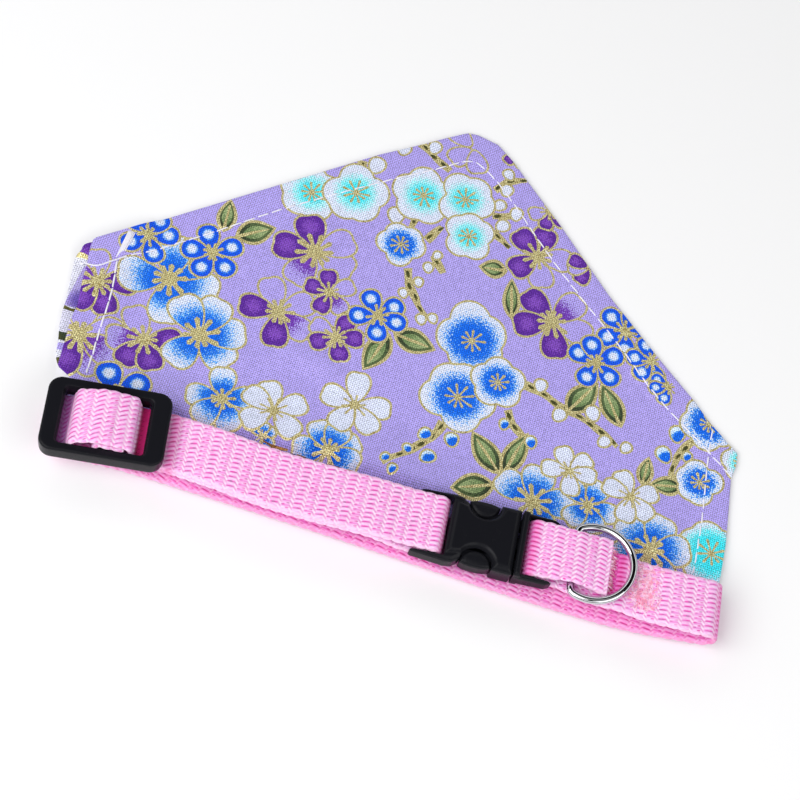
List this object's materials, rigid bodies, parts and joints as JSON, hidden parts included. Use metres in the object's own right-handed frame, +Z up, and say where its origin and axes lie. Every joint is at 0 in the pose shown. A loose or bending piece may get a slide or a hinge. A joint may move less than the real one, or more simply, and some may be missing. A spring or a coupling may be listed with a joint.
{
  "type": "dog bandana on an adjustable collar",
  "caption": "Printed cotton bandana sewn to a flat webbing dog collar with a side-release buckle, slider and D-ring.",
  "frame": {"origin": "On the surface that it lies on, under the middle of the whole.", "axes": "+X along the collar from the slider towards the D-ring, +Y from the collar towards the bandana's point, +Z up from the surface."},
  "size_m": [0.1754, 0.1278, 0.0132],
  "materials": {
    "cotton_print": "plain-weave cotton, lilac ground with a printed blossom pattern and gold outlines",
    "cotton_reverse": "unprinted reverse of the cotton, and white sewing thread",
    "webbing_pink": "ribbed woven webbing, pink with deeper pink between the ribs",
    "moulded_black": "satin moulded acetal",
    "ring_chrome": "bright plated steel wire"
  },
  "bodies": {
    "collar": {"bandana_panel": "cotton_print", "left_hem": "cotton_reverse", "webbing": "webbing_pink", "slider": "moulded_black", "buckle_socket": "moulded_black", "buckle_plug": "moulded_black"},
    "ring": {"d_ring": "ring_chrome"}
  },
  "joints": [
    {"name": "ring_swing", "type": "hinge", "parent": "collar", "child": "ring", "pos_m": [0.04952, -0.05103, 0.0074], "axis": [0.0698, -0.9976, 0], "range_deg": [0, 135]}
  ]
}
